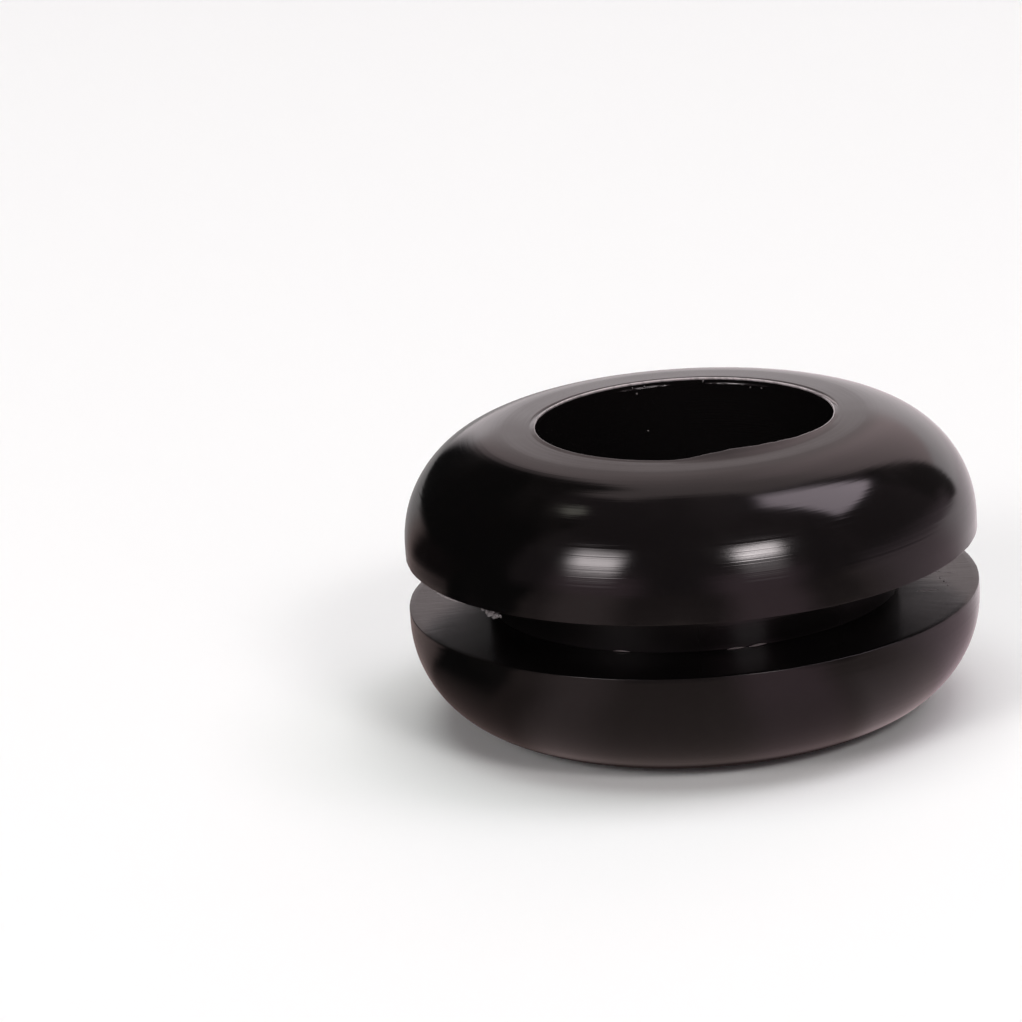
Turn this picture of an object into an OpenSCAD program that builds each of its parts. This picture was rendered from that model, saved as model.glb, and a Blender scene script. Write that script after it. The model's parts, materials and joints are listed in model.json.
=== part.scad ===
// Rubber cable grommet, double sided: two equal round-edged flanges with a panel groove
// between them and a straight bore through the middle. It is one moulded piece.
// The bore's axis is Z. The origin is where that axis meets the surface the grommet stands on.

/* [Bore] */
// Diameter of the bore that the cable passes through
bore_d = 10; // [4:0.5:12]
// Rounding of the bore's two rims
rim_r = 0.2; // [0.05:0.05:0.4]

/* [Panel groove] */
// Diameter at the bottom of the groove, where the panel's hole sits
groove_d = 13.8; // [13:0.1:16]
// Width of the groove, for the thickness of the panel
groove_w = 1.8; // [1:0.1:4]
// Fillet where the groove's bottom meets its two faces
groove_fillet_r = 0.25; // [0.05:0.05:0.4]
// Rounding of the flange edges at the groove's mouth
lip_r = 0.12; // [0.04:0.02:0.3]

/* [Flanges] */
// Outer diameter of both flanges
flange_d = 19.2; // [18:0.1:26]
// Thickness of each flange, from the groove's face to the flat end
flange_t = 4.1; // [2:0.1:8]
// Radius of the round shoulder between a flange's outer wall and its flat end
shoulder_r = 3.65; // [0.5:0.05:7]

/* [Hidden] */
$fn = 120;
spill = 1;  // how far a cut reaches past the face that it opens
bore_r = bore_d / 2;
groove_r = groove_d / 2;
flange_r = flange_d / 2;
total_h = 2 * flange_t + groove_w;
groove_mid_z = total_h / 2;
// the rounds stop where the wall that they are cut from ends
shoulder = min(shoulder_r, flange_t - lip_r, flange_r - bore_r - rim_r);
fillet = min(groove_fillet_r, groove_w / 2, flange_r - groove_r - lip_r);

// What a round of radius r takes off a square corner that points outwards and up
module corner_waste(r) {
    translate([-r, -r]) difference() {
        square(r + spill);
        circle(r);
    }
}

// Half section of a flange that stands on the groove's face, with its flat end up
module flange_section() {
    difference() {
        translate([bore_r, 0]) square([flange_r - bore_r, flange_t]);
        translate([flange_r, flange_t]) corner_waste(shoulder);
        translate([flange_r, 0]) mirror([0, 1]) corner_waste(lip_r);
        translate([bore_r, flange_t]) mirror([1, 0]) corner_waste(rim_r);
    }
}

// Half section of the neck between the flanges, with its two fillets
module neck_section() {
    translate([bore_r, -groove_w / 2]) square([groove_r - bore_r, groove_w]);
    for (side = [0, 1]) mirror([0, side])
        translate([groove_r, groove_w / 2]) groove_fillet();
}

// Fills the corner between the groove's bottom and the face above it
module groove_fillet() {
    difference() {
        translate([-fillet, -fillet]) square(2 * fillet);
        translate([fillet, -fillet]) circle(fillet);
    }
}

// The whole half section, about the middle of the groove
module grommet_section() {
    neck_section();
    for (side = [0, 1]) mirror([0, side])
        translate([0, groove_w / 2]) flange_section();
}

module grommet() {
    color("#1c1b1d") translate([0, 0, groove_mid_z])
        rotate_extrude() grommet_section();
}

grommet();
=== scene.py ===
import json
import math

import bmesh
import bpy
from mathutils import Matrix, Vector


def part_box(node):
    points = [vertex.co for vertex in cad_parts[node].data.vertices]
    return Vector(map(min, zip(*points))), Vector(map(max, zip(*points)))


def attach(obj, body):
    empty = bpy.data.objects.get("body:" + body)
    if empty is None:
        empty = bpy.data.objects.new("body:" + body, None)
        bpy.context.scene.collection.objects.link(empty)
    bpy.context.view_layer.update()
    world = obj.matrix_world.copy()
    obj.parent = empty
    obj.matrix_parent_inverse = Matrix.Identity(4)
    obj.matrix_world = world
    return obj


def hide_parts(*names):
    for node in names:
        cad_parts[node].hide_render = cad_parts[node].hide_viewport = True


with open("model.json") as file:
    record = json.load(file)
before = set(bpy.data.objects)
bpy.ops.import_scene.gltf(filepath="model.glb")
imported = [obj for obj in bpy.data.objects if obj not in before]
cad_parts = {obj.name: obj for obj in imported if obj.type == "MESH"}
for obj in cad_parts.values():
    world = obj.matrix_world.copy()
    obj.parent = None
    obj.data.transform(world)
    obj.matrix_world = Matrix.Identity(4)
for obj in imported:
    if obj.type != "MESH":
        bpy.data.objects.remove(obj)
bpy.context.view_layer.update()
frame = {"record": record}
print("frame loaded")

mm = 0.001
low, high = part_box("grommet")
middle = (low + high) / 2
cableBore = next(m for m in frame["record"]["mounts"] if m["name"] == "cable_bore")


# Small helpers for node trees

def addNode(tree, kind, **settings):
    node = tree.nodes.new(kind)
    for name, value in settings.items():
        setattr(node, name, value)
    return node


def feed(tree, socket, value):
    # a socket takes another node's output or a plain value
    if isinstance(value, bpy.types.NodeSocket):
        tree.links.new(value, socket)
    elif value is not None:
        socket.default_value = value


def linkChain(tree, *nodes):
    for start, stop in zip(nodes, nodes[1:]):
        tree.links.new(start.outputs[0], stop.inputs[0])


def enabledSocket(sockets, name):
    return next(s for s in sockets if s.name == name and s.enabled)


def calc(tree, operation, a, b=None, c=None):
    node = addNode(tree, "ShaderNodeMath", operation=operation)
    for socket, value in zip(node.inputs, (a, b, c)):
        feed(tree, socket, value)
    return node.outputs[0]


def times(tree, first, *others):
    for other in others:
        first = calc(tree, "MULTIPLY", first, other)
    return first


def plus(tree, first, *others):
    for other in others:
        first = calc(tree, "ADD", first, other)
    return first


def minus(tree, first, second):
    return calc(tree, "SUBTRACT", first, second)


def larger(tree, first, second):
    return calc(tree, "MAXIMUM", first, second)


def distanceFrom(tree, value, centre):
    return calc(tree, "ABSOLUTE", minus(tree, value, centre))


def vectorCalc(tree, operation, a, b=None, scale=None):
    node = addNode(tree, "ShaderNodeVectorMath", operation=operation)
    feed(tree, node.inputs[0], a)
    feed(tree, node.inputs[1], b)
    if operation == "SCALE":
        feed(tree, node.inputs["Scale"], scale)
    return node.outputs["Value" if operation == "LENGTH" else "Vector"]


def smoothStep(tree, value, start, end, low=0.0, high=1.0):
    node = addNode(tree, "ShaderNodeMapRange", interpolation_type="SMOOTHSTEP")
    ends = {"Value": value, "From Min": start, "From Max": end, "To Min": low, "To Max": high}
    for name, given in ends.items():
        feed(tree, node.inputs[name], given)
    return node.outputs["Result"]


def noise(tree, vector, size, detail=2.0, roughness=0.5):
    # size is the width of one lump, in the unit of the vector
    node = addNode(tree, "ShaderNodeTexNoise")
    feed(tree, node.inputs["Vector"], vector)
    node.inputs["Scale"].default_value = 1 / size
    node.inputs["Detail"].default_value = detail
    node.inputs["Roughness"].default_value = roughness
    return node.outputs[0]


def splitVector(tree, vector):
    node = addNode(tree, "ShaderNodeSeparateXYZ")
    feed(tree, node.inputs[0], vector)
    return node.outputs


def joinVector(tree, x, y, z):
    node = addNode(tree, "ShaderNodeCombineXYZ")
    for socket, value in zip(node.inputs, (x, y, z)):
        feed(tree, socket, value)
    return node.outputs[0]


def mixColour(tree, share, first, second):
    node = addNode(tree, "ShaderNodeMix", data_type="RGBA")
    feed(tree, node.inputs[0], share)
    for socket, value in ((node.inputs[6], first), (node.inputs[7], second)):
        feed(tree, socket, (*value[:3], 1) if isinstance(value, tuple) else value)
    return node.outputs[2]


def mixValue(tree, share, first, second):
    return calc(tree, "MULTIPLY_ADD", share, minus(tree, second, first), first)


def newMaterial(name):
    material = bpy.data.materials.new(name)
    material.use_nodes = True
    return material


# Camera: the photograph's place, a long lens a hand's breadth away and a little above

cameraView = {
    "distance": 170 * mm,
    "elevation": math.radians(17.4),
    "roll": math.radians(3.28),
    "pixelsPerMm": 29.68,           # at the middle of the grommet
    "imageSize": 1022,
    "middlePixel": (692.1, 561.6),  # where the middle of the grommet lies in the image
    "sensor": 36.0,
    "clip": (0.01, 20),
}


def makeCamera(given):
    data = bpy.data.cameras.new("photoCamera")
    camera = bpy.data.objects.new("photoCamera", data)
    bpy.context.collection.objects.link(camera)
    focalPixels = given["pixelsPerMm"] * given["distance"] / mm
    data.sensor_width = given["sensor"]
    data.lens = focalPixels * given["sensor"] / given["imageSize"]
    data.clip_start, data.clip_end = given["clip"]
    up = given["elevation"]
    back = Vector((0, -math.cos(up), math.sin(up)))
    # looks at the middle, is rolled, and is then turned so that the middle lands on its pixel
    half = given["imageSize"] / 2
    yaw = math.atan((given["middlePixel"][0] - half) / focalPixels)
    pitch = math.atan((given["middlePixel"][1] - half) / focalPixels)
    facing = back.to_track_quat("Z", "Y").to_matrix()
    turned = facing @ Matrix.Rotation(-given["roll"], 3, "Z")
    turned = turned @ Matrix.Rotation(yaw, 3, "Y") @ Matrix.Rotation(pitch, 3, "X")
    place = Matrix.Translation(middle + back * given["distance"])
    camera.matrix_world = place @ turned.to_4x4()
    bpy.context.scene.camera = camera


makeCamera(cameraView)
print("camera set")


# Rubber: black, glossy from the mould, a little uneven, with trimming lines on the groove's faces

rubberFinish = {
    "colour": (0.0019, 0.0017, 0.0017, 1),
    "bloomColour": (0.0038, 0.0033, 0.0032, 1),
    "dustColour": (0.005, 0.0046, 0.0046, 1),   # in the bore and at the bottom of the groove
    "tornAndGlintColour": (0.55, 0.525, 0.525, 1),      # along the trimmed rim: torn skin, and a painted highlight palest at the back and on the right
    "cloudSize": 3.2 * mm,
    "bloomClouds": (0.42, 0.72),                # the clouds' noise from where bloom starts to full
    "dullClouds": (0.3, 0.7),
    "ior": 1.5,
    "roughness": (0.10, 0.16),
    "grooveRoughness": 0.17,
    "bottomRoughness": 0.42,                    # of the groove's bottom outside the clear stretch
    "creaseRoughness": 0.55,
    "tornRoughness": 0.45,
    "clearFrom": (-1 * mm, 1 * mm),             # where the clear stretch of it begins on the left
    "clearTo": (4 * mm, 5.5 * mm),              # and where it ends on the right
    "shine": 0.5,                               # the specular level where no shade is painted
    "paintedShade": 0.40,                              # how much of the shine the full painted shade takes away
    "bottomShade": 0.6,                         # how much painted shade the bottom takes outside the clear stretch
    "shadeR": 8.3 * mm,
    "markSize": 0.13 * mm,                      # tool marks, which run round the axis
    "markDepth": 0.004 * mm,
    "markDepthLow": 0.0085 * mm,                # on the shoulders' sides, where they are plainer
    "markChange": 0.25 * mm,                    # over which the depth goes from one to the other
    "lineCount": 26,                            # lumps of the trimming lines' noise on a radian
    "lineDepth": 0.004 * mm,
    "lineDrift": 0.5 / mm,                      # how soon the lines change on the way outwards
}


def grooveMasks(tree, radius, z, groove):
    # 1 on one part of the groove's walls and 0 elsewhere, with room for the skin's waves
    edge, bottom = groove["halfWidth"], groove["bottomR"]
    fromMiddle = distanceFrom(tree, z, groove["middleZ"])
    between = smoothStep(tree, fromMiddle, edge * 1.01, edge * 1.06, 1.0, 0.0)
    atFaces = smoothStep(tree, fromMiddle, edge * 0.98, edge * 0.986)

    def within(start, end):
        # fades over two shares of the bottom's radius
        return smoothStep(tree, radius, bottom * start, bottom * end, 1.0, 0.0)

    return {
        "walls": times(tree, between, smoothStep(tree, radius, bottom * 1.005, bottom * 1.02)),
        "bottom": times(tree, between, within(1.003, 1.008)),
        "dustBand": times(tree, between, within(1.02, 1.1)),
        "corners": times(tree, atFaces, between, within(1.01, 1.02)),
    }


def storedShare(tree, name):
    return addNode(tree, "ShaderNodeAttribute", attribute_name=name).outputs["Fac"]


def glossyRubber(given, groove):
    material = newMaterial("glossyBlackRubber")
    tree = material.node_tree
    shader = tree.nodes["Principled BSDF"]
    place = addNode(tree, "ShaderNodeTexCoord").outputs["Object"]
    x, y, z = splitVector(tree, place)
    flat = joinVector(tree, x, y, 0.0)
    radius = vectorCalc(tree, "LENGTH", flat)
    masks = grooveMasks(tree, radius, z, groove)
    # the groove's bottom is duller, and darkened with painted shade, outside a clear stretch a little
    # right of the middle
    clearStretch = smoothStep(tree, x, *given["clearFrom"])
    clearStretch = times(tree, clearStretch, smoothStep(tree, x, *given["clearTo"], 1.0, 0.0))
    dullShadedBottom = times(tree, masks["bottom"], minus(tree, 1.0, clearStretch))
    tornAndGlint = storedShare(tree, "tornAndGlint")
    crease = storedShare(tree, "crease")

    # faint bloom in soft clouds, dust where nothing wipes it away, and the torn skin of the rim with a
    # painted highlight on it
    clouds = noise(tree, place, given["cloudSize"], 3.0, 0.6)
    bloom = smoothStep(tree, clouds, *given["bloomClouds"])
    colour = mixColour(tree, bloom, given["colour"], given["bloomColour"])
    inBore = smoothStep(tree, radius, groove["boreR"] * 1.002, groove["boreR"] * 1.006, 1.0, 0.0)
    colour = mixColour(tree, larger(tree, masks["dustBand"], inBore), colour, given["dustColour"])
    feed(tree, shader.inputs["Base Color"], mixColour(tree, tornAndGlint, colour, given["tornAndGlintColour"]))

    # glossy on the outside, duller in the groove, dullest in the crease and where the skin is torn
    dull = smoothStep(tree, clouds, *given["dullClouds"], *given["roughness"])
    dull = mixValue(tree, masks["walls"], dull, given["grooveRoughness"])
    dull = mixValue(tree, dullShadedBottom, dull, given["bottomRoughness"])
    dull = mixValue(tree, crease, dull, given["creaseRoughness"])
    feed(tree, shader.inputs["Roughness"], mixValue(tree, tornAndGlint, dull, given["tornRoughness"]))
    shader.inputs["IOR"].default_value = given["ior"]

    # painted shade deep in the groove, at its corners and on its bottom outside the clear stretch takes
    # most of the shine away
    deep = smoothStep(tree, radius, groove["bottomR"] * 1.01, given["shadeR"], 1.0, 0.0)
    shadedShare = larger(tree, times(tree, masks["walls"], deep), masks["corners"])
    shadedShare = larger(tree, shadedShare, times(tree, dullShadedBottom, given["bottomShade"]))
    lost = times(tree, shadedShare, given["paintedShade"])
    feed(tree, shader.inputs["Specular IOR Level"], minus(tree, given["shine"], lost))

    # tool marks round the axis on the outside, and fine lines outwards in the groove
    marks = noise(tree, joinVector(tree, radius, 0.0, z), given["markSize"], 3.0, 0.7)
    onSide = smoothStep(tree, radius, groove["sideR"], groove["sideR"] + given["markChange"])
    onSide = times(tree, onSide, minus(tree, 1.0, masks["walls"]))
    markDepth = mixValue(tree, onSide, given["markDepth"], given["markDepthLow"])
    spoke = vectorCalc(tree, "SCALE", vectorCalc(tree, "NORMALIZE", flat), scale=given["lineCount"])
    drift = joinVector(tree, 0.0, 0.0, times(tree, radius, given["lineDrift"]))
    lines = noise(tree, vectorCalc(tree, "ADD", spoke, drift), 1.0, 3.0, 0.75)
    lineHeight = times(tree, lines, masks["walls"], given["lineDepth"])
    bump = addNode(tree, "ShaderNodeBump")
    bump.inputs["Strength"].default_value = 1.0
    bump.inputs["Distance"].default_value = 1.0
    feed(tree, bump.inputs["Height"], plus(tree, lineHeight, times(tree, marks, markDepth)))
    tree.links.new(bump.outputs["Normal"], shader.inputs["Normal"])
    return material


# The moulding: a half section with its flash, turned about the bore's axis

moulding = {
    "boreR": cableBore["dims"]["r_mm"] * mm,
    "flangeR": high.x,
    "height": high.z,
    "grooveR": 6.9 * mm,
    "grooveW": 1.8 * mm,
    "shoulderR": 3.65 * mm,
    "rimR": 0.036 * mm,
    "lipR": 0.022 * mm,
    "cornerR": 0.01 * mm,
    "flashRoot": 0.34 * mm,        # how far out on the end face the flash starts to rise
    "flashCurve": 1.3,             # above 1 it rises more steeply towards the bore
    "beadWidth": 0.13 * mm,
    "tornWidth": 0.01 * mm,
    "creaseFrom": 0.11 * mm,       # how far outside the rim's round the crease lies
    "creaseWidth": 0.1 * mm,
    "lineDepth": 0.19 * mm,        # the line that the mould's core left in the bore
    "lineWidth": 0.045 * mm,
    "edgeReach": 0.11 * mm,        # how far from a lip its edge wanders
    "boreWaves": 0.3,              # the share of the skin's waves in the bore
    "wavesFromBore": 0.5 * mm,     # where they reach their full height
    "wavesFromTable": 0.4 * mm,
    "sectionSteps": {"rim": 6, "flash": 20, "face": 6, "shoulder": 46, "side": 4, "lip": 5,
                     "grooveFace": 12, "corner": 6, "grooveBottom": 7, "bore": 20},
    "steps": 400,                  # round the axis
}


def arc(centreR, centreZ, radius, start, end, steps):
    # points of an arc from one angle to another, in degrees
    angles = [math.radians(start + (end - start) * i / steps) for i in range(steps + 1)]
    return [(centreR + radius * math.cos(a), centreZ + radius * math.sin(a)) for a in angles]


def line(start, end, steps):
    # points between two ends, without the ends
    shares = [i / steps for i in range(1, steps)]
    return [(start[0] + (end[0] - start[0]) * s, start[1] + (end[1] - start[1]) * s) for s in shares]


def halfSection(given):
    # the closed outline in the radius and height plane, from the bore's top rim outwards and down
    bore, flange, top, root = given["boreR"], given["flangeR"], given["height"], given["grooveR"]
    rim, lip, corner, shoulder = given["rimR"], given["lipR"], given["cornerR"], given["shoulderR"]
    faceTop = top / 2 + given["grooveW"] / 2
    faceLow = top / 2 - given["grooveW"] / 2
    flat = flange - shoulder
    flashFrom = bore + given["flashRoot"]
    underLine = top - given["lineDepth"] - 2 * given["lineWidth"]
    steps = given["sectionSteps"]
    points = arc(bore + rim, top - rim, rim, 180, 90, steps["rim"])
    points += line((bore + rim, top), (flashFrom, top), steps["flash"])
    points += line((flashFrom, top), (flat, top), steps["face"])
    points += arc(flat, top - shoulder, shoulder, 90, 0, steps["shoulder"])
    points += line((flange, top - shoulder), (flange, faceTop + lip), steps["side"])
    points += arc(flange - lip, faceTop + lip, lip, 0, -90, steps["lip"])
    points += line((flange - lip, faceTop), (root + corner, faceTop), steps["grooveFace"])
    points += arc(root + corner, faceTop - corner, corner, 90, 180, steps["corner"])
    points += line((root, faceTop - corner), (root, faceLow + corner), steps["grooveBottom"])
    points += arc(root + corner, faceLow + corner, corner, 180, 270, steps["corner"])
    points += line((root + corner, faceLow), (flange - lip, faceLow), steps["grooveFace"])
    points += arc(flange - lip, faceLow - lip, lip, 90, 0, steps["lip"])
    points += line((flange, faceLow - lip), (flange, shoulder), steps["side"])
    points += arc(flat, shoulder, shoulder, 0, -90, steps["shoulder"])
    points += line((flat, 0), (bore + rim, 0), steps["face"])
    points += arc(bore + rim, rim, rim, 270, 180, steps["rim"])
    points += line((bore, rim), (bore, underLine), steps["bore"])
    points += [(bore, underLine)] + line((bore, underLine), (bore, top - rim), steps["bore"])
    return points


def clip(value):
    return min(max(value, 0.0), 1.0)


def ease(value):
    value = clip(value)
    return value * value * (3 - 2 * value)


def sectionWeights(given, r, z):
    # how much of each unevenness a point of the section takes
    nearly = 1e-7
    bore, top, rim = given["boreR"], given["height"], given["rimR"]
    onTop = 1.0 if z > top - rim - nearly else 0.0
    inBore = r < bore + nearly
    fromRim = r - bore - rim
    fromFace = given["flangeR"] - given["shoulderR"] - r
    fromLine = abs(z - (top - given["lineDepth"])) / given["lineWidth"]
    fromLip = math.hypot(r - given["flangeR"], abs(z - top / 2) - given["grooveW"] / 2)
    fromCrease = abs(fromRim - given["creaseFrom"]) / given["creaseWidth"]
    waves = ease((r - bore) / given["wavesFromBore"]) * ease(z / given["wavesFromTable"])
    return {
        "bead": onTop * clip(1 - fromRim / given["beadWidth"]),
        "flash": onTop * clip(1 - fromRim / (given["flashRoot"] - rim)) ** given["flashCurve"],
        "crown": onTop * clip(fromFace / mm),
        "coreLine": ease(1 - fromLine) if inBore else 0.0,
        "edge": ease(1 - fromLip / given["edgeReach"]),
        "skin": given["boreWaves"] if inBore else waves,
        "tornAndGlint": onTop if fromRim < given["tornWidth"] else 0.0,
        "crease": onTop * ease(1 - fromCrease),
    }


unevenness = {
    "Wave height": 0.011 * mm,
    "Wave size": 3.4 * mm,
    "Crown": 0.022 * mm,
    "Bead height": 0.022 * mm,
    "Bead one side": 0.3,                    # how much more of the bead lies left than right
    "Tall flash": 0.14 * mm,
    "Tall flash reach": 1.7,                 # its reach over the bore, as a share of its height
    "Tall flash start": math.radians(-97),   # round the axis from the right, seen from above
    "Tall flash rise": math.radians(25),
    "Tall flash length": math.radians(89),
    "Core line height": 0.03 * mm,
    "Core line left": math.radians(105),     # where the core's line is strong
    "Core line right": math.radians(67),
    "Core line left reach": math.radians(9),
    "Core line right reach": math.radians(12),
    "Core line fade": math.radians(2),
    "Core line elsewhere": 0.12,
    "Edge wander": 0.06 * mm,
    "Torn and glint in front": 0.1,                    # as a share of what it is at the back, where the painted highlight is strongest
    "Crease depth": 0.018 * mm,
    "Crease in front": 0.03,
    "Steps": moulding["steps"],
}


def inputSocket(tree, name, value):
    kind = "NodeSocketInt" if isinstance(value, int) else "NodeSocketFloat"
    socket = tree.interface.new_socket(name=name, in_out="INPUT", socket_type=kind)
    socket.default_value = value
    return socket.identifier


def newTree(name, incoming, outgoing, values):
    # a geometry tree, its group input's sockets, and the identifier of each named value
    tree = bpy.data.node_groups.new(name, "GeometryNodeTree")
    tree.interface.new_socket(name=incoming, in_out="INPUT", socket_type="NodeSocketGeometry")
    tree.interface.new_socket(name=outgoing, in_out="OUTPUT", socket_type="NodeSocketGeometry")
    keys = {key: inputSocket(tree, key, value) for key, value in values.items()}
    return tree, addNode(tree, "NodeGroupInput").outputs, keys


def sampled(tree, geometry, value, index, kind="FLOAT"):
    node = addNode(tree, "GeometryNodeSampleIndex", data_type=kind, domain="POINT")
    tree.links.new(geometry, node.inputs["Geometry"])
    feed(tree, enabledSocket(node.inputs, "Value"), value)
    feed(tree, node.inputs["Index"], index)
    return enabledSocket(node.outputs, "Value")


def storedWeight(tree, name):
    node = addNode(tree, "GeometryNodeInputNamedAttribute", data_type="FLOAT")
    node.inputs["Name"].default_value = name
    return enabledSocket(node.outputs, "Attribute")


def keepWeight(tree, geometry, name, value):
    node = addNode(tree, "GeometryNodeStoreNamedAttribute", data_type="FLOAT", domain="POINT")
    node.inputs["Name"].default_value = name
    feed(tree, enabledSocket(node.inputs, "Value"), value)
    tree.links.new(geometry, node.inputs["Geometry"])
    return node.outputs["Geometry"]


def moved(tree, geometry, **places):
    node = addNode(tree, "GeometryNodeSetPosition")
    tree.links.new(geometry, node.inputs["Geometry"])
    for name, value in places.items():
        tree.links.new(value, node.inputs[name])
    return node


def turnedSheet(tree, given, position, pointCount):
    # a sheet of one unit square: across it goes the turn, up it go the section's points
    sheet = addNode(tree, "GeometryNodeMeshGrid")
    sheet.inputs["Size X"].default_value = 1.0
    sheet.inputs["Size Y"].default_value = 1.0
    feed(tree, sheet.inputs["Vertices X"], plus(tree, given["Steps"], 1.0))
    sheet.inputs["Vertices Y"].default_value = pointCount + 1
    across, along, _ = splitVector(tree, position)
    turn = times(tree, plus(tree, across, 0.5), 2 * math.pi)
    index = calc(tree, "ROUND", times(tree, plus(tree, along, 0.5), float(pointCount)))
    index = calc(tree, "MODULO", index, float(pointCount))
    return sheet.outputs["Mesh"], turn, index


def lowBead(tree, given, cosine, ragged, weight):
    oneSide = minus(tree, 1.0, times(tree, cosine, given["Bead one side"]))
    rough = calc(tree, "MULTIPLY_ADD", ragged, 0.8, 0.6)
    return times(tree, given["Bead height"], oneSide, weight, rough)


def tallFlash(tree, given, turn, ragged, weight):
    # a wall over one stretch, which rises soon and falls off slowly
    fromStart = minus(tree, turn, given["Tall flash start"])
    fromStart = calc(tree, "WRAP", fromStart, math.pi, -math.pi)
    rising = smoothStep(tree, fromStart, 0.0, given["Tall flash rise"])
    quarter = times(tree, given["Tall flash length"], 0.25)
    falling = smoothStep(tree, fromStart, quarter, given["Tall flash length"], 1.0, 0.0)
    rough = calc(tree, "MULTIPLY_ADD", ragged, 0.5, 0.75)
    return times(tree, rising, falling, given["Tall flash"], rough, weight)


def coreLine(tree, given, turn, ring, weight):
    strong = given["Core line elsewhere"]
    for side in ("Core line left", "Core line right"):
        away = distanceFrom(tree, turn, given[side])
        start = minus(tree, given[side + " reach"], given["Core line fade"])
        end = plus(tree, given[side + " reach"], given["Core line fade"])
        strong = plus(tree, strong, smoothStep(tree, away, start, end, 1.0, 0.0))
    uneven = smoothStep(tree, noise(tree, ring, 0.7 * mm, 3.0, 0.65), 0.35, 0.6, 0.45, 1.0)
    return times(tree, uneven, weight, given["Core line height"], strong)


def edgeWander(tree, given, ring, height, weight):
    place = vectorCalc(tree, "ADD", ring, joinVector(tree, 0.0, 0.0, height))
    wander = minus(tree, noise(tree, place, 0.9 * mm, 3.0, 0.6), 0.5)
    return times(tree, wander, weight, given["Edge wander"])


def tornSkinAndGlint(tree, given, cosine, sine, ring, weight):
    # torn skin, palest at the back and on the right, where it is a painted highlight on the crest
    behind = calc(tree, "MULTIPLY_ADD", cosine, 0.4, sine)
    pale = smoothStep(tree, behind, -0.9, 0.7, given["Torn and glint in front"], 1.0)
    specks = smoothStep(tree, noise(tree, ring, 0.4 * mm, 2.0, 0.6), 0.3, 0.65, 0.6, 1.25)
    return times(tree, weight, times(tree, pale, specks))


def revolveTree(values, weightNames, material, pointCount):
    tree, given, keys = newTree("revolvedMoulding", "Half section", "Moulding", values)
    section = given["Half section"]
    position = addNode(tree, "GeometryNodeInputPosition").outputs[0]
    sheet, turn, index = turnedSheet(tree, given, position, pointCount)
    outline = sampled(tree, section, position, index, "FLOAT_VECTOR")
    sectionR, _, sectionZ = splitVector(tree, outline)
    weights = {name: sampled(tree, section, storedWeight(tree, name), index) for name in weightNames}
    cosine, sine = calc(tree, "COSINE", turn), calc(tree, "SINE", turn)
    outward = joinVector(tree, cosine, sine, 0.0)
    ring = vectorCalc(tree, "SCALE", outward, scale=10 * mm)   # where the noise round the axis is read

    # flash at the top rim: a low bead all round, a wall over one stretch, and a crease at the back
    ragged = noise(tree, ring, 1.6 * mm, 3.0, 0.6)
    bead = lowBead(tree, given, cosine, ragged, weights["bead"])
    tall = tallFlash(tree, given, turn, ragged, weights["flash"])
    crown = times(tree, given["Crown"], weights["crown"])
    sharp = smoothStep(tree, sine, 0.0, 0.5, given["Crease in front"], 1.0)
    crease = times(tree, weights["crease"], sharp)
    inward = calc(tree, "MULTIPLY_ADD", tall, given["Tall flash reach"], times(tree, bead, 0.7))
    upward = minus(tree, plus(tree, tall, bead, crown), times(tree, crease, given["Crease depth"]))

    # the core's line in the bore, and the wandering edges at the groove's mouth
    inward = plus(tree, inward, coreLine(tree, given, turn, ring, weights["coreLine"]))
    wander = edgeWander(tree, given, ring, sectionZ, weights["edge"])
    radius = plus(tree, minus(tree, sectionR, inward), wander)
    height = joinVector(tree, 0.0, 0.0, plus(tree, sectionZ, upward))
    turned = vectorCalc(tree, "ADD", vectorCalc(tree, "SCALE", outward, scale=radius), height)
    tornAndGlint = tornSkinAndGlint(tree, given, cosine, sine, ring, weights["tornAndGlint"])
    for name, value in (("skin", weights["skin"]), ("tornAndGlint", tornAndGlint), ("crease", crease)):
        sheet = keepWeight(tree, sheet, name, value)
    revolved = moved(tree, sheet, Position=turned)
    closed = addNode(tree, "GeometryNodeMergeByDistance")
    closed.inputs["Distance"].default_value = 0.0005 * mm
    linkChain(tree, revolved, closed)

    # the slow waves of a rubber skin, along the surface's own normal
    normal = addNode(tree, "GeometryNodeInputNormal").outputs[0]
    wavePlace = vectorCalc(tree, "SCALE", position, scale=calc(tree, "DIVIDE", 1.0, given["Wave size"]))
    wave = minus(tree, noise(tree, wavePlace, 1.0, 1.5, 0.4), 0.5)
    wave = times(tree, wave, given["Wave height"], storedWeight(tree, "skin"))
    offset = vectorCalc(tree, "SCALE", normal, scale=wave)
    waved = moved(tree, closed.outputs["Geometry"], Offset=offset)
    smooth = addNode(tree, "GeometryNodeSetShadeSmooth")
    real = addNode(tree, "GeometryNodeRealizeInstances")
    finish = addNode(tree, "GeometryNodeSetMaterial")
    finish.inputs["Material"].default_value = material
    linkChain(tree, waved, smooth, real, finish, addNode(tree, "NodeGroupOutput"))
    return tree, keys


def meshObject(name, mesh):
    piece = bpy.data.objects.new(name, mesh)
    bpy.context.collection.objects.link(piece)
    return piece


def grown(source, tree, keys, values, name, material):
    # the tree's result as a plain mesh, its doubles merged and its faces turned outwards
    modifier = source.modifiers.new(name, "NODES")
    modifier.node_group = tree
    for key, value in values.items():
        modifier[keys[key]] = value
    plain = bpy.data.meshes.new_from_object(source.evaluated_get(bpy.context.evaluated_depsgraph_get()))
    bpy.data.objects.remove(source)
    work = bmesh.new()
    work.from_mesh(plain)
    bmesh.ops.remove_doubles(work, verts=work.verts, dist=0.0001 * mm)
    bmesh.ops.recalc_face_normals(work, faces=work.faces)
    work.to_mesh(plain)
    work.free()
    if "skin" in plain.attributes:
        plain.attributes.remove(plain.attributes["skin"])
    plain.materials.clear()
    plain.materials.append(material)
    plain.name = name
    return meshObject(name, plain)


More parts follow.
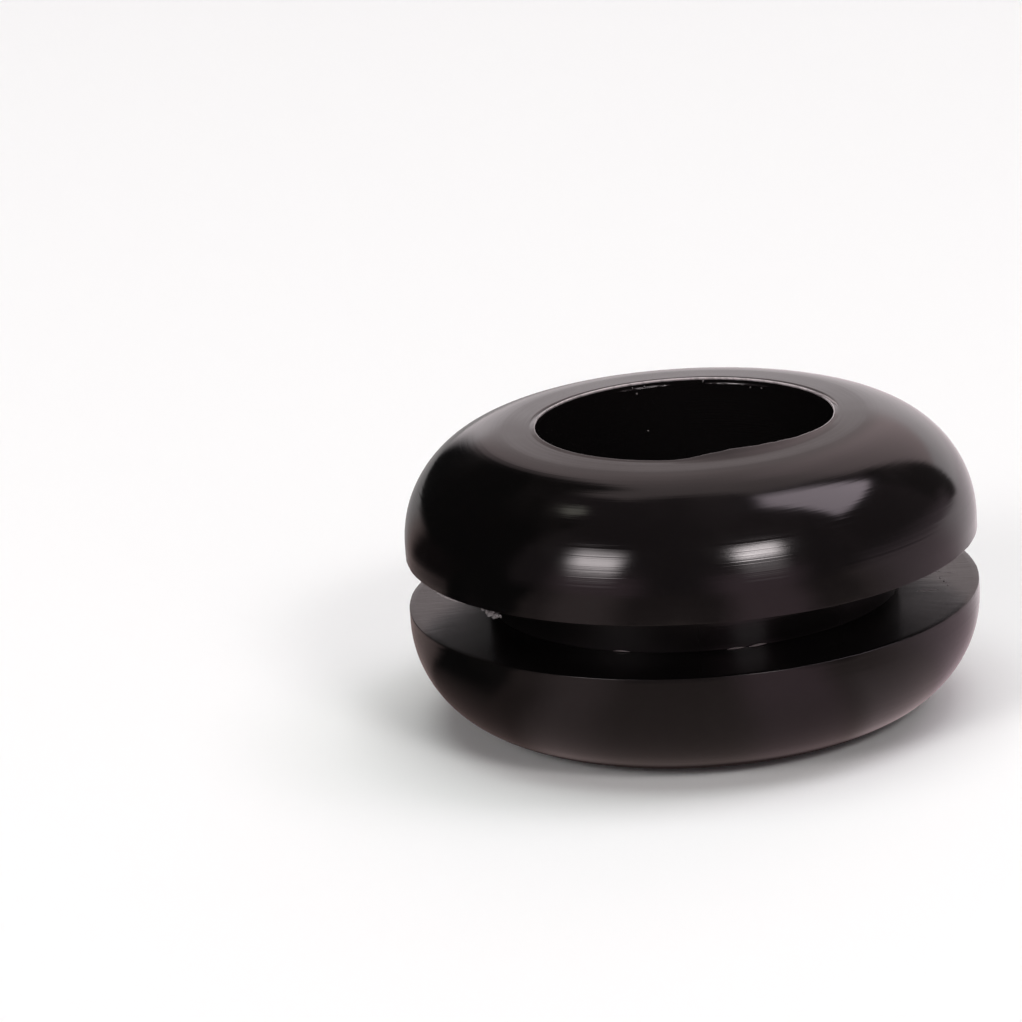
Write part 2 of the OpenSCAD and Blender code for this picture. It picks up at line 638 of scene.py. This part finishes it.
def makeMoulding(given, values, material):
    outline = halfSection(given)
    count = len(outline)
    mesh = bpy.data.meshes.new("halfSection")
    mesh.from_pydata([(r, 0, z) for r, z in outline], [(i, (i + 1) % count) for i in range(count)], [])
    weights = [sectionWeights(given, r, z) for r, z in outline]
    weightNames = list(weights[0])
    for name in weightNames:
        attribute = mesh.attributes.new(name, "FLOAT", "POINT")
        attribute.data.foreach_set("value", [w[name] for w in weights])
    source = meshObject("halfSection", mesh)
    tree, keys = revolveTree(values, weightNames, material, count)
    piece = grown(source, tree, keys, values, "grommet_moulding", material)
    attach(piece, "root")
    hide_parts("grommet")
    print("moulding made,", len(piece.data.polygons), "faces from", count, "section points")


groovePlace = {
    "middleZ": middle.z,
    "halfWidth": moulding["grooveW"] / 2,
    "bottomR": moulding["grooveR"],
    "boreR": moulding["boreR"],
    "sideR": 0.92 * moulding["flangeR"],   # outside this the shoulders are steep
}
makeMoulding(moulding, unevenness, glossyRubber(rubberFinish, groovePlace))


# Crumbs and threads of flash, left where the mould was trimmed; in the groove's corner and on its
# bottom, pale ones are painted glints

# pale torn rubber; the groove's corner threads and bottom specks use it as painted glints
crumbFinish = {"colour": (0.15, 0.142, 0.142, 1), "roughness": 0.42}
threadAndGlintFinish = {"colour": (0.30, 0.28, 0.28, 1), "roughness": 0.42}

crumbs = {
    # azimuth in degrees from the right, then radius, height and size in mm
    "boreSpecks": [
        (108.3, 4.97, 9.66, 0.045), (104.5, 4.98, 8.29, 0.04), (110, 4.97, 9.88, 0.03),
        (105, 4.97, 9.88, 0.03), (62, 4.97, 9.74, 0.035), (57, 4.97, 9.75, 0.03),
        (81.5, 4.96, 9.92, 0.045),
    ],
    "tornLump": [
        (-133.7, 9.48, 5.78, 0.16), (-135.0, 9.48, 5.82, 0.11), (-132.4, 9.50, 5.75, 0.12),
        (-133.1, 9.49, 5.67, 0.09), (-136.2, 9.50, 5.85, 0.06), (-131.3, 9.52, 5.77, 0.06),
        (-134.6, 9.51, 5.70, 0.06),
    ],
    "grooveSpecks": [
        # the first two, on the groove's bottom, are painted glints by their pale colour
        (-23.3, 6.93, 4.62, 0.05), (-24.6, 6.93, 4.58, 0.03), (-6.2, 8.43, 4.10, 0.045),
        (-9.2, 8.59, 4.10, 0.03), (-3.8, 8.29, 4.10, 0.03),
    ],
    "squash": (0.75, 0.55),    # the two smaller widths, as shares of the size
    "fullTurn": 6.28,          # how far each may be turned, in radians
    "lumpSize": 0.09 * mm,
    "lumpiness": 0.9,
    "seed": 4,
}

threads = {
    # thickness in mm, then the points: azimuth in degrees, radius and height in mm
    "routes": [
        (0.06, [(33, 5.02, 10.0), (19, 5.06, 10.01), (10, 5.12, 10.01), (3, 5.24, 9.99)]),
        (0.030, [(-155, 9.57, 5.90), (-148, 9.60, 5.87), (-141, 9.57, 5.89)]),
        # these three in the groove's corner are painted glints by their pale colour
        (0.022, [(-113.1, 6.95, 4.12), (-110.5, 6.96, 4.14), (-108.2, 6.95, 4.13)]),
        (0.030, [(-82.0, 6.93, 4.11), (-79, 6.94, 4.12), (-76.8, 6.93, 4.12)]),
        (0.040, [(-76.0, 6.94, 4.11), (-73, 6.96, 4.14), (-70.9, 6.94, 4.14)]),
        (0.012, [(1.5, 8.10, 4.10), (-1, 8.90, 4.10)]),
        (0.014, [(-14, 7.60, 4.10), (-12.5, 8.30, 4.10)]),
    ],
    "sides": 10,
    "tipShare": 0.03,          # how blunt the ends are
    "wander": 0.03 * mm,
    "wanderSize": 0.4 * mm,
    "pointGap": 0.05 * mm,
}


def tornRubber(name, given):
    material = newMaterial(name)
    shader = material.node_tree.nodes["Principled BSDF"]
    shader.inputs["Base Color"].default_value = given["colour"]
    shader.inputs["Roughness"].default_value = given["roughness"]
    return material


def ringPlace(azimuth, radius, height):
    turn = math.radians(azimuth)
    return radius * mm * math.cos(turn), radius * mm * math.sin(turn), height * mm


def crumbTree(given, values, material):
    tree, inputs, keys = newTree("flashCrumbs", "Places", "Crumbs", values)
    ball = addNode(tree, "GeometryNodeMeshIcoSphere")
    ball.inputs["Radius"].default_value = 1.0
    ball.inputs["Subdivisions"].default_value = 3
    scatter = addNode(tree, "GeometryNodeInstanceOnPoints")
    tree.links.new(inputs["Places"], scatter.inputs["Points"])
    tree.links.new(ball.outputs["Mesh"], scatter.inputs["Instance"])
    turn = addNode(tree, "FunctionNodeRandomValue", data_type="FLOAT_VECTOR")
    turn.inputs["Max"].default_value = (given["fullTurn"],) * 3
    tree.links.new(inputs["Seed"], turn.inputs["Seed"])
    tree.links.new(turn.outputs["Value"], scatter.inputs["Rotation"])
    size = storedWeight(tree, "size")
    second, third = given["squash"]
    squashed = joinVector(tree, size, times(tree, size, second), times(tree, size, third))
    tree.links.new(squashed, scatter.inputs["Scale"])
    real = addNode(tree, "GeometryNodeRealizeInstances")
    linkChain(tree, scatter, real)
    position = addNode(tree, "GeometryNodeInputPosition").outputs[0]
    normal = addNode(tree, "GeometryNodeInputNormal").outputs[0]
    lump = minus(tree, noise(tree, position, given["lumpSize"], 2.0), 0.5)
    lump = times(tree, lump, inputs["Lumpiness"], storedWeight(tree, "size"))
    lumpy = moved(tree, real.outputs[0], Offset=vectorCalc(tree, "SCALE", normal, scale=lump))
    finish = addNode(tree, "GeometryNodeSetMaterial")
    finish.inputs["Material"].default_value = material
    linkChain(tree, lumpy, finish, addNode(tree, "NodeGroupOutput"))
    return tree, keys


def threadTree(given, values, material):
    tree, inputs, keys = newTree("flashThreads", "Routes", "Threads", values)
    curve = addNode(tree, "GeometryNodeMeshToCurve")
    tree.links.new(inputs["Routes"], curve.inputs["Mesh"])
    even = addNode(tree, "GeometryNodeResampleCurve", mode="LENGTH")
    linkChain(tree, curve, even)
    tree.links.new(inputs["Point gap"], even.inputs["Length"])
    position = addNode(tree, "GeometryNodeInputPosition").outputs[0]
    wobble = addNode(tree, "ShaderNodeTexNoise")
    feed(tree, wobble.inputs["Vector"], position)
    wobble.inputs["Scale"].default_value = 1 / given["wanderSize"]
    offset = vectorCalc(tree, "SUBTRACT", wobble.outputs["Color"], (0.5, 0.5, 0.5))
    offset = vectorCalc(tree, "SCALE", offset, scale=inputs["Wander"])
    wandering = moved(tree, even.outputs[0], Offset=offset)

    # a round tube, thin at both ends
    along = addNode(tree, "GeometryNodeSplineParameter").outputs["Factor"]
    tip = given["tipShare"]
    taper = calc(tree, "MULTIPLY_ADD", along, math.pi * (1 - 2 * tip), math.pi * tip)
    thickness = times(tree, calc(tree, "SINE", taper), storedWeight(tree, "size"))
    shaped = addNode(tree, "GeometryNodeSetCurveRadius")
    tree.links.new(wandering.outputs[0], shaped.inputs["Curve"])
    tree.links.new(thickness, shaped.inputs["Radius"])
    profile = addNode(tree, "GeometryNodeCurvePrimitiveCircle")
    profile.inputs["Resolution"].default_value = given["sides"]
    profile.inputs["Radius"].default_value = 1.0
    tube = addNode(tree, "GeometryNodeCurveToMesh")
    tube.inputs["Fill Caps"].default_value = True
    tree.links.new(shaped.outputs[0], tube.inputs["Curve"])
    tree.links.new(profile.outputs[0], tube.inputs["Profile Curve"])
    tree.links.new(addNode(tree, "GeometryNodeInputRadius").outputs[0], tube.inputs["Scale"])
    smooth = addNode(tree, "GeometryNodeSetShadeSmooth")
    real = addNode(tree, "GeometryNodeRealizeInstances")
    finish = addNode(tree, "GeometryNodeSetMaterial")
    finish.inputs["Material"].default_value = material
    linkChain(tree, tube, smooth, real, finish, addNode(tree, "NodeGroupOutput"))
    return tree, keys


def makeFlashBits(name, points, edges, sizes, tree, keys, values, material):
    mesh = bpy.data.meshes.new(name)
    mesh.from_pydata(points, edges, [])
    mesh.attributes.new("size", "FLOAT", "POINT").data.foreach_set("value", sizes)
    piece = grown(meshObject(name, mesh), tree, keys, values, name, material)
    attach(piece, "root")


def makeCrumbs(given, material):
    places = given["boreSpecks"] + given["tornLump"] + given["grooveSpecks"]
    points = [ringPlace(*place[:3]) for place in places]
    sizes = [place[3] * mm for place in places]
    values = {"Lumpiness": given["lumpiness"], "Seed": given["seed"]}
    tree, keys = crumbTree(given, values, material)
    makeFlashBits("flash_crumbs", points, [], sizes, tree, keys, values, material)


def makeThreads(given, material):
    points, edges, sizes = [], [], []
    for thickness, route in given["routes"]:
        start = len(points)
        points += [ringPlace(*place) for place in route]
        edges += [(start + i, start + i + 1) for i in range(len(route) - 1)]
        sizes += [thickness * mm] * len(route)
    values = {"Wander": given["wander"], "Point gap": given["pointGap"]}
    tree, keys = threadTree(given, values, material)
    makeFlashBits("flash_threads", points, edges, sizes, tree, keys, values, material)


makeCrumbs(crumbs, tornRubber("tornRubberCrumb", crumbFinish))
makeThreads(threads, tornRubber("tornRubberThreadAndGlint", threadAndGlintFinish))
print("flash bits made")


# The studio: a pale floor, two softboxes in front, and what stands round the table

studio = {
    "floorSize": 3.0,
    "floorDrop": 0.01 * mm,              # keeps the floor clear of the standing face
    "floorSeen": (0.905, 0.965, 0.945),
    "surround": (0.118, 0.092, 0.098),
    "paintedTableColour": (0.30, 0.23, 0.22),
    "softboxes": [
        # azimuth from straight behind the grommet, clockwise seen from above; angles in degrees
        {"name": "softboxLeft", "azimuth": -138, "elevation": 26, "width": 27.5, "height": 36,
         "brightest": 0.56, "rise": 0.32, "tail": 0.2, "level": 11.8},
        {"name": "softboxRight", "azimuth": 150.5, "elevation": 25.75, "width": 24.5, "height": 35.5,
         "brightest": 0.775, "rise": 0.25, "tail": 0.07, "level": 22.5},
    ],
    "softboxEdge": (0.18, 0.46),         # where the glow falls off, as a share of the width
    "softboxTailReach": 0.4,
    "softboxColour": (1, 0.92, 0.93),
    "softboxDistance": 1.0,
    "overheadSize": 0.8,
    "overheadLevel": 0.53,               # share of full white that it adds on the floor
}

# What the glossy skin mirrors of the room, as soft fields. Along is the elevation of the middle,
# in degrees, and the later field lies over the earlier.
roomFields = [
    {"azimuth": 3, "along": 28, "halfWidth": 37, "halfLength": 43, "soft": 2,
     "colour": (0.66, 0.54, 0.54)},                   # broad and fairly bright behind
    {"azimuth": -2, "along": 21, "halfWidth": 8, "halfLength": 8, "soft": 5,
     "colour": (0.5, 0.42, 0.42)},                    # a dimmer patch in it
    {"azimuth": 24, "along": 22, "halfWidth": 16, "halfLength": 30, "soft": 5,
     "colour": (0.88, 0.7, 0.71)},                    # its lighter part on the right
    {"azimuth": 3, "along": 0, "halfWidth": 38, "halfLength": 15.8, "soft": 1.5,
     "colour": (1.06, 0.97, 0.99)},                   # brighter low down behind
    {"azimuth": -58, "along": 25, "halfWidth": 45, "halfLength": 33, "soft": 4,
     "colour": (0.01, 0.01, 0.01)},                   # dark on the left
    {"azimuth": 50, "along": 22, "halfWidth": 10, "halfLength": 22, "soft": 2,
     "colour": (0.06, 0.05, 0.05)},                   # a dark stretch on the right
    {"azimuth": 74, "along": 58.5, "halfWidth": 22, "halfLength": 14.5, "soft": 1, "slant": -0.22,
     "colour": (3.3, 2.8, 3.1)},                      # the bright field on the right shoulder
    {"azimuth": -73, "along": 62.5, "halfWidth": 9.5, "halfLength": 3, "soft": 0.8,
     "colour": (1.3, 1.25, 1.1)},                     # a small bright one high on the left
    {"azimuth": -141, "along": 5, "halfWidth": 17, "halfLength": 12, "soft": 9,
     "colour": (0.55, 0.38, 0.44)},                   # under the left softbox
    {"azimuth": 154, "along": 5, "halfWidth": 17, "halfLength": 12, "soft": 9,
     "colour": (0.62, 0.43, 0.50)},                   # under the right softbox
    {"azimuth": 80, "along": 0, "halfWidth": 30, "halfLength": 8, "soft": 6,
     "colour": (0.34, 0.26, 0.29)},                   # low on the right
]

# What it mirrors of the table: a painted reflection, glowing fields with painted shade and light
# in place of the lit floor. Along is now the distance from the axis in millimetres, and a half
# length of 1000 reaches past the middle of each of the floor's sides.
paintedTableFields = [
    {"azimuth": 180, "along": 1025, "halfWidth": 60, "halfLength": 1000, "soft": 4,
     "colour": (0.17, 0.13, 0.13)},                   # dimmer in front
    {"azimuth": 30, "along": 1000, "halfWidth": 48, "halfLength": 1000, "soft": 20,
     "colour": (0.95, 0.84, 0.87)},                   # bright behind
    {"azimuth": 88, "along": 1000, "halfWidth": 22, "halfLength": 1000, "soft": 16,
     "colour": (0.6, 0.46, 0.5)},
    {"azimuth": 154, "along": 1010, "halfWidth": 13, "halfLength": 1000, "soft": 7,
     "colour": (0.6, 0.42, 0.47)},                    # under the right softbox
    {"azimuth": -141, "along": 1010, "halfWidth": 12, "halfLength": 1000, "soft": 7,
     "colour": (0.48, 0.37, 0.37)},                   # under the left softbox
    {"azimuth": -20, "along": 1000, "halfWidth": 18, "halfLength": 1000, "soft": 8,
     "colour": (0.4, 0.38, 0.38)},
    {"azimuth": 121, "along": 5, "halfWidth": 15.5, "halfLength": 11, "soft": 6,
     "colour": (0.56, 0.44, 0.45)},                   # close by on the right, in front
    {"azimuth": -82, "along": 1026, "halfWidth": 35, "halfLength": 1000, "soft": 6,
     "colour": (0.02, 0.015, 0.015)},                 # dark away on the left
    {"azimuth": -106, "along": 5, "halfWidth": 28, "halfLength": 15, "soft": 9,
     "colour": (0.125, 0.09, 0.085)},                 # and dim close by
    {"azimuth": -100, "along": 1012.5, "halfWidth": 18, "halfLength": 1000, "soft": 3,
     "colour": (0.01, 0.01, 0.01)},
    {"azimuth": 0, "along": 0, "halfWidth": 190, "halfLength": 7.35, "soft": 0.3,
     "colour": (0.03, 0.02, 0.02)},                   # in the shade under the flange
]


def lookDirection(azimuth, elevation):
    a, e = math.radians(azimuth), math.radians(elevation)
    return Vector((math.sin(a) * math.cos(e), math.cos(a) * math.cos(e), math.sin(e)))


def azimuthOf(tree, x, y):
    return times(tree, calc(tree, "ARCTAN2", x, y), 180 / math.pi)


def paintFields(tree, colour, azimuth, along, fields):
    for field in fields:
        lean = minus(tree, along, float(field["along"]))
        lean = times(tree, lean, field.get("slant", 0.0))
        turn = minus(tree, minus(tree, azimuth, float(field["azimuth"])), lean)
        sideways = calc(tree, "ABSOLUTE", calc(tree, "WRAP", turn, 180.0, -180.0))
        lengthways = distanceFrom(tree, along, float(field["along"]))
        share = []
        for away, half in ((sideways, field["halfWidth"]), (lengthways, field["halfLength"])):
            share.append(smoothStep(tree, away, half - field["soft"], half + field["soft"], 1.0, 0.0))
        colour = mixColour(tree, times(tree, *share), colour, field["colour"])
    return colour


def paleFloor(given):
    # the camera sees a matt pale floor, and glossy rays see a glowing painted table with painted shade
    # and light
    material = newMaterial("paleFloor")
    tree = material.node_tree
    tree.nodes.clear()
    x, y, _ = splitVector(tree, addNode(tree, "ShaderNodeTexCoord").outputs["Object"])
    away = calc(tree, "DIVIDE", vectorCalc(tree, "LENGTH", joinVector(tree, x, y, 0.0)), mm)
    matt = addNode(tree, "ShaderNodeBsdfDiffuse")
    matt.inputs["Color"].default_value = (*given["floorSeen"], 1)
    mirrored = paintFields(tree, given["paintedTableColour"], azimuthOf(tree, x, y), away, paintedTableFields)
    paintedTable = addNode(tree, "ShaderNodeEmission")
    feed(tree, paintedTable.inputs["Color"], mirrored)
    mix = addNode(tree, "ShaderNodeMixShader")
    feed(tree, mix.inputs[0], addNode(tree, "ShaderNodeLightPath").outputs["Is Glossy Ray"])
    tree.links.new(matt.outputs[0], mix.inputs[1])
    tree.links.new(paintedTable.outputs[0], mix.inputs[2])
    linkChain(tree, mix, addNode(tree, "ShaderNodeOutputMaterial"))
    return material


def makeFloor(given):
    half, z = given["floorSize"] / 2, -given["floorDrop"]
    corners = [(-half, -half, z), (half, -half, z), (half, half, z), (-half, half, z)]
    mesh = bpy.data.meshes.new("floor")
    mesh.from_pydata(corners, [], [(0, 1, 2, 3)])
    mesh.materials.append(paleFloor(given))
    floor = meshObject("floor", mesh)


def makeWorld(given):
    # white where it is looked at directly, and the room's fields for what the rubber mirrors
    world = bpy.data.worlds.new("studioSurround")
    bpy.context.scene.world = world
    world.use_nodes = True
    tree = world.node_tree
    tree.nodes.clear()
    x, y, z = splitVector(tree, addNode(tree, "ShaderNodeTexCoord").outputs["Generated"])
    elevation = times(tree, calc(tree, "ARCSINE", z), 180 / math.pi)
    mirrored = paintFields(tree, given["surround"], azimuthOf(tree, x, y), elevation, roomFields)
    path = addNode(tree, "ShaderNodeLightPath").outputs
    direct = larger(tree, path["Is Camera Ray"], path["Is Transmission Ray"])
    light = addNode(tree, "ShaderNodeBackground")
    feed(tree, light.inputs["Color"], mixColour(tree, direct, mirrored, (1.0, 1.0, 1.0)))
    linkChain(tree, light, addNode(tree, "ShaderNodeOutputWorld"))


def areaLight(name, direction, distance, width, height, level):
    # level is the radiance, with 1 the white of the picture
    data = bpy.data.lights.new(name, "AREA")
    data.shape = "RECTANGLE"
    data.size, data.size_y = width, height
    data.energy = level * width * height * math.pi
    light = bpy.data.objects.new(name, data)
    bpy.context.collection.objects.link(light)
    light.location = middle + direction * distance
    light.rotation_mode = "QUATERNION"
    light.rotation_quaternion = direction.to_track_quat("Z", "Y")
    light.visible_camera = False
    return light


def makeSoftboxes(given):
    distance = given["softboxDistance"]
    for box in given["softboxes"]:
        width = 2 * distance * math.tan(math.radians(box["width"] / 2))
        height = 2 * distance * math.tan(math.radians(box["height"] / 2))
        direction = lookDirection(box["azimuth"], box["elevation"])
        light = areaLight(box["name"], direction, distance, width, height, box["level"])
        # brightest across one band, as a lamp behind a cloth is, with a faint tail at its foot
        light.data.use_nodes = True
        tree = light.data.node_tree
        u, v, _ = splitVector(tree, addNode(tree, "ShaderNodeNewGeometry").outputs["Parametric"])
        across = smoothStep(tree, distanceFrom(tree, u, 0.5), *given["softboxEdge"], 1.0, 0.0)
        peak = box["brightest"]
        below = smoothStep(tree, v, peak - box["rise"], peak)
        tail = smoothStep(tree, v, 0.0, given["softboxTailReach"], 0.0, box["tail"])
        above = smoothStep(tree, v, peak, 1.0, 1.0, 0.0)
        upright = times(tree, above, larger(tree, below, tail))
        glow = tree.nodes["Emission"]
        glow.inputs["Color"].default_value = (*given["softboxColour"], 1)
        feed(tree, glow.inputs["Strength"], times(tree, across, upright))


def makeOverhead(given):
    # evens out the light on the table, and doesn't show in the rubber
    size, distance = given["overheadSize"], given["softboxDistance"]
    level = given["overheadLevel"] * math.pi * distance ** 2 / size ** 2
    light = areaLight("overhead", Vector((0, 0, 1)), distance, size, size, level)
    light.visible_glossy = False


makeFloor(studio)
makeWorld(studio)
makeSoftboxes(studio)
makeOverhead(studio)
bpy.context.scene.view_settings.view_transform = "Standard"
print("studio set")
